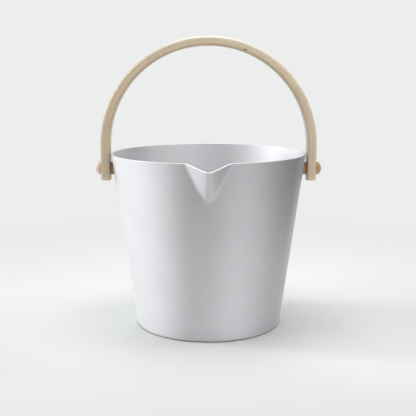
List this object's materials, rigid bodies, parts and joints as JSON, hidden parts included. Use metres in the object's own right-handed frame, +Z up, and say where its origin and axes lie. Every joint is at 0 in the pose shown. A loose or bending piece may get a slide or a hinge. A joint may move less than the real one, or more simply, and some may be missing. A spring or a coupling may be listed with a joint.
{
  "type": "sauna bucket",
  "caption": "Tapered seamless aluminium pail with a pressed V pouring spout and a swinging bentwood bow handle on turned wooden bosses, for carrying and ladling sauna water.",
  "frame": {"origin": "centre of the flat underside, on the pail's axis", "axes": "+Z up, the spout faces -Y, the handle's pivot axis runs along X"},
  "size_m": [0.257, 0.2337, 0.327],
  "materials": {
    "pail": "satin anodised, fine brushing round the pail",
    "bow": "pale bent lath, fine grain along its run, clear matt",
    "boss": "turned, oiled, redder than the lath",
    "screw": "stainless, satin",
    "seal": "matt black",
    "bush": "turned"
  },
  "bodies": {
    "pail": {"pail_shell": "pail", "spacer_left": "boss", "spacer_right": "boss", "knob_left": "boss", "knob_right": "boss", "knob_insert_left": "bush", "knob_insert_right": "bush", "pivot_screw_left": "screw", "pivot_screw_right": "screw", "flat_washer_left": "screw", "flat_washer_right": "screw", "seal_washer_left": "seal", "seal_washer_right": "seal"},
    "handle": {"bow_handle": "bow", "pivot_bush_left": "bush", "pivot_bush_right": "bush"}
  },
  "joints": [
    {"name": "handle_swing", "type": "hinge", "parent": "pail", "child": "handle", "pos_m": [0, 0, 0.1793], "axis": [1, 0, 0], "range_deg": [-130, 130]}
  ]
}
